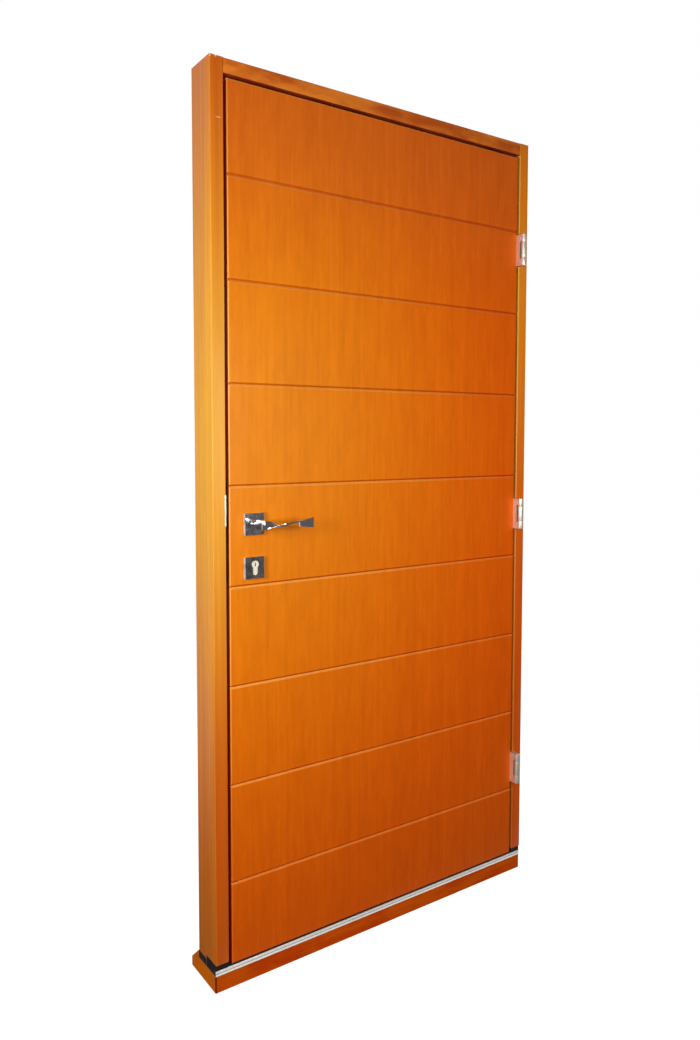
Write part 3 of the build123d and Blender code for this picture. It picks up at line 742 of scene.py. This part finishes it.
# Levers: each is one chromed casting, a round neck and a flat leg that turns along the
# leaf in a tight corner. The bar then twists a quarter turn to its waist, where its lower
# edge has come to the front, and a second one to its tip.
LEVER_CHROME = (226, 227, 230)
EVEN_GRAIN = (700.0, 700.0, 700.0)
BAR_THICK = 0.006
BAR_TALL = 0.021
TIP_TALL = 0.0245
NECK_LENGTH = 0.018
NECK_RADIUS = 0.007
NECK_SEAT = 0.001
WAIST_REACH = 0.052
OUTER_CORNER = 0.0048
CAST_EDGE = 0.0006
TWIST_STEPS = 10
SLACK = 0.0001
leaf_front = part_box("front_facing")[0].y
leaf_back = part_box("rear_facing")[1].y
spindle = (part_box("spindle")[0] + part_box("spindle")[1]) / 2
lever_low, lever_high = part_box("front_lever")
bar_y = lever_low.y + BAR_TALL / 2
bar_front = bar_y - BAR_THICK / 2
bar_back = bar_y + BAR_THICK / 2
leg_left = spindle.x - BAR_THICK / 2
leg_right = spindle.x + BAR_THICK / 2
neck_end = leaf_front - NECK_LENGTH
leg_back = neck_end - (BAR_TALL / 2 - NECK_RADIUS)


def pick(kind, wanted):
    """In edit mode, selects only the edges or faces whose middle passes the test."""
    bpy.ops.mesh.select_mode(type=kind)
    bpy.ops.mesh.select_all(action="DESELECT")
    bpy.ops.object.mode_set(mode="OBJECT")
    mesh = bpy.context.object.data
    for part in mesh.polygons if kind == "FACE" else mesh.edges:
        corners = [mesh.vertices[i].co for i in part.vertices]
        part.select = wanted(sum(corners, corners[0] * 0) / len(corners))
    bpy.ops.object.mode_set(mode="EDIT")


lever = slab(
    (leg_left, bar_front, spindle.z - BAR_TALL / 2), (leg_right, leg_back, spindle.z + BAR_TALL / 2)
)
bpy.ops.object.mode_set(mode="EDIT")
pick("FACE", lambda middle: middle.y > leg_back - SLACK)
bpy.ops.mesh.extrude_region_move(TRANSFORM_OT_translate={"value": (0.0, neck_end - leg_back, 0.0)})
bpy.ops.transform.resize(value=(1.0, 1.0, 2 * NECK_RADIUS / BAR_TALL), center_override=spindle)
bpy.ops.mesh.select_all(action="SELECT")
bpy.ops.mesh.bisect(plane_co=(0.0, bar_back, 0.0), plane_no=(0.0, 1.0, 0.0))
pick("EDGE", lambda middle: middle.x < leg_left + SLACK and middle.y < bar_front + SLACK)
bpy.ops.mesh.bevel(offset=OUTER_CORNER, segments=6, affect="EDGES")
pick("FACE", lambda middle: middle.x > leg_right - SLACK and middle.y < bar_back)
waist_x = spindle.x + WAIST_REACH
tip_flare = TIP_TALL / BAR_TALL
for start, end, flare in ((leg_right, waist_x, 1.0), (waist_x, lever_high.x, tip_flare)):
    turn = 0.0
    size = 1.0
    for step in range(1, TWIST_STEPS + 1):
        share = step / TWIST_STEPS
        new_turn = math.atan2(share, 1.0 - share)
        new_size = math.hypot(share, 1.0 - share) * (1.0 + (flare - 1.0) * share)
        bpy.ops.mesh.extrude_region_move(
            TRANSFORM_OT_translate={"value": ((end - start) / TWIST_STEPS, 0.0, 0.0)}
        )
        centre = (start + (end - start) * share, bar_y, spindle.z)
        bpy.ops.transform.rotate(value=new_turn - turn, orient_axis="X", center_override=centre)
        bpy.ops.transform.resize(value=(1.0, new_size / size, new_size / size), center_override=centre)
        turn = new_turn
        size = new_size
bpy.ops.object.mode_set(mode="OBJECT")
rounded(lever, CAST_EDGE, 3)
bpy.ops.mesh.primitive_cylinder_add(
    vertices=64,
    radius=NECK_RADIUS,
    depth=NECK_LENGTH - NECK_SEAT,
    location=(spindle.x, leaf_front - (NECK_LENGTH + NECK_SEAT) / 2, spindle.z),
    rotation=(math.radians(90.0), 0.0, 0.0),
)
bpy.ops.object.transform_apply(location=True, rotation=True, scale=True)
neck = rounded(bpy.context.object, CAST_EDGE, 3)
combined(lever, neck, "UNION")
lever.name = "front_lever_casting"
chrome = metal_finish(
    "lever_chrome", LEVER_CHROME, EVEN_GRAIN, rough=0.05, seed=9.0, edge=0.2, tarnish=0.03, metallic=1.0
)
finished(lever, chrome)
rear_lever = copied(lever, "rear_lever_casting", (0.0, 0.0, 0.0))
bpy.ops.object.mode_set(mode="EDIT")
bpy.ops.mesh.select_all(action="SELECT")
bpy.ops.transform.mirror(
    constraint_axis=(False, True, False), center_override=(0.0, (leaf_front + leaf_back) / 2, 0.0)
)
bpy.ops.mesh.normals_make_consistent(inside=False)
bpy.ops.object.mode_set(mode="OBJECT")
for casting, node in ((lever, "front_lever"), (rear_lever, "rear_lever")):
    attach(casting, "lever")
    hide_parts(node)

# Floor: a plain pale studio floor that runs out to white and keeps the door's shadow.
# Mirrors see it dark in front of the door, and white behind it and close to the sill.
SHADOW_GREY = (0.42, 0.42, 0.42, 1.0)
DULL_GREY = (0.12, 0.12, 0.12, 1.0)
FLOOR_GLOW = 0.84
FLOOR_SIZE = 60.0
FLOOR_DROP = 0.0005
SHADOW_NEAR = 0.9
SHADOW_FAR = 2.6
SILL_GLOW_FAR = 0.13
SILL_GLOW_NEAR = 0.07
SILL_GLOW_END = 0.02
bpy.ops.mesh.primitive_plane_add(size=FLOOR_SIZE, location=(0.0, 0.0, -FLOOR_DROP))
floor = bpy.context.object
floor.name = "studio_floor"
bpy.ops.object.transform_apply(location=True, rotation=True, scale=True)
floor_paint = bpy.data.materials.new("studio_floor_paint")
floor_paint.use_nodes = True
tree = floor_paint.node_tree
tree.nodes.remove(tree.nodes["Principled BSDF"])
seen = shade(tree, "ShaderNodeLightPath").outputs
spot = shade(tree, "ShaderNodeTexCoord").outputs["Object"]
along = place_of(tree, spot)
far = spread(tree, vectors(tree, "LENGTH", spot)["Value"], SHADOW_NEAR, SHADOW_FAR)
eye = sums(tree, "MAXIMUM", seen["Is Camera Ray"], seen["Is Transmission Ray"])
matt = shade(tree, "ShaderNodeBsdfDiffuse", {"Color": SHADOW_GREY}).outputs[0]
glow = shade(tree, "ShaderNodeEmission", {"Strength": FLOOR_GLOW}).outputs[0]
white = shade(tree, "ShaderNodeEmission", {"Strength": 1.0}).outputs[0]
near_floor = shade(tree, "ShaderNodeAddShader", {0: matt, 1: glow}).outputs[0]
shown = shade(tree, "ShaderNodeMixShader", {0: far, 1: near_floor, 2: white}).outputs[0]
open_side = spread(tree, along["Y"], 0.3, 1.8, 0.12, 1.0)
by_sill = spread(tree, along["Y"], frame_front - SILL_GLOW_FAR, frame_front - SILL_GLOW_NEAR)
from_end = spread(tree, along["X"], sill_low.x, sill_low.x + SILL_GLOW_END)
open_side = sums(tree, "MAXIMUM", open_side, sums(tree, "MULTIPLY", by_sill, from_end))
mirrored = shade(tree, "ShaderNodeEmission", {"Strength": open_side}).outputs[0]
dull = shade(tree, "ShaderNodeBsdfDiffuse", {"Color": DULL_GREY}).outputs[0]
unseen = shade(tree, "ShaderNodeMixShader", {0: seen["Is Glossy Ray"], 1: dull, 2: mirrored}).outputs[0]
paint = shade(tree, "ShaderNodeMixShader", {0: eye, 1: unseen, 2: shown}).outputs[0]
tree.links.new(paint, tree.nodes["Material Output"].inputs["Surface"])
floor.data.materials.append(floor_paint)

# Studio: white for the eye and a faint fill, stronger from above. Mirrors see a room that
# is white behind the door and far to the left, and dim above and in front. Three softboxes
# light the front of the door and one lights its back.
WARM_GLOOM = (1.0, 0.6, 0.4, 1.0)
WHITE = (1.0, 1.0, 1.0, 1.0)
studio = bpy.data.worlds.new("studio")
bpy.context.scene.world = studio
studio.use_nodes = True
tree = studio.node_tree
backdrop = tree.nodes["Background"]
seen = shade(tree, "ShaderNodeLightPath").outputs
heading = shade(tree, "ShaderNodeTexCoord").outputs["Generated"]
along = place_of(tree, heading)
eye = sums(tree, "MAXIMUM", seen["Is Camera Ray"], seen["Is Transmission Ray"])
open_side = sums(
    tree,
    "MAXIMUM",
    spread(tree, along["Y"], -0.2, 0.35, 0.14, 1.0),
    spread(tree, along["X"], -0.65, -0.95, 0.14, 1.0),
)
overhead = spread(tree, along["Z"], 0.3, 0.9, 0.0, 0.2)
open_side = sums(tree, "MAXIMUM", open_side, overhead)
mirrored = sums(tree, "MULTIPLY", open_side, seen["Is Glossy Ray"])
from_above = spread(tree, along["Z"], -0.1, 0.7, 0.03, 0.13)
fill = sums(tree, "MULTIPLY", seen["Is Diffuse Ray"], from_above)
level = sums(tree, "MAXIMUM", sums(tree, "MAXIMUM", eye, mirrored), fill)
tree.links.new(level, backdrop.inputs["Strength"])
not_mirrored = sums(tree, "SUBTRACT", 1.0, seen["Is Glossy Ray"])
whiteness = sums(tree, "MAXIMUM", spread(tree, open_side, 0.0, 0.3), not_mirrored)
room = blend_tones(tree, whiteness, WARM_GLOOM, WHITE)
tree.links.new(room, backdrop.inputs["Color"])


def softbox(name, place, aim, size, power):
    bpy.ops.object.light_add(type="AREA", location=place)
    lamp = bpy.context.object
    lamp.name = name
    lamp.data.size = size
    lamp.data.energy = power
    aside = math.atan2(aim[0] - place[0], aim[1] - place[1])
    down = math.atan2(place[2] - aim[2], math.hypot(aim[0] - place[0], aim[1] - place[1]))
    lamp.rotation_euler = (math.radians(90.0) - down, 0.0, -aside)


softbox("key_softbox", (-1.75, -0.75, 1.35), aim=(-0.45, -0.05, 1.25), size=0.5, power=19.5)
softbox("front_softbox", (0.15, -1.85, 1.3), aim=(0.05, -0.05, 1.2), size=0.7, power=13.8)
softbox("camera_softbox", (-1.25, -1.75, 1.36), aim=(-0.1, -0.05, 1.15), size=0.6, power=9.4)
softbox("rear_softbox", (0.75, 2.2, 1.4), aim=(0.0, 0.05, 1.1), size=1.0, power=36.0)

# Camera: a little above the lever, to the left of the door, as in the photograph. Its
# lens and shift were fitted to the frame's edges.
bpy.ops.object.camera_add(
    location=(-1.2905, -1.6709, 1.2675), rotation=(math.radians(86.808), 0.0, math.radians(-34.08))
)
camera = bpy.context.object
camera.data.lens = 28.23
camera.data.sensor_width = 36.0
camera.data.shift_x = 0.0222
camera.data.shift_y = -0.0349
bpy.context.scene.camera = camera
bpy.context.scene.view_settings.view_transform = "Standard"
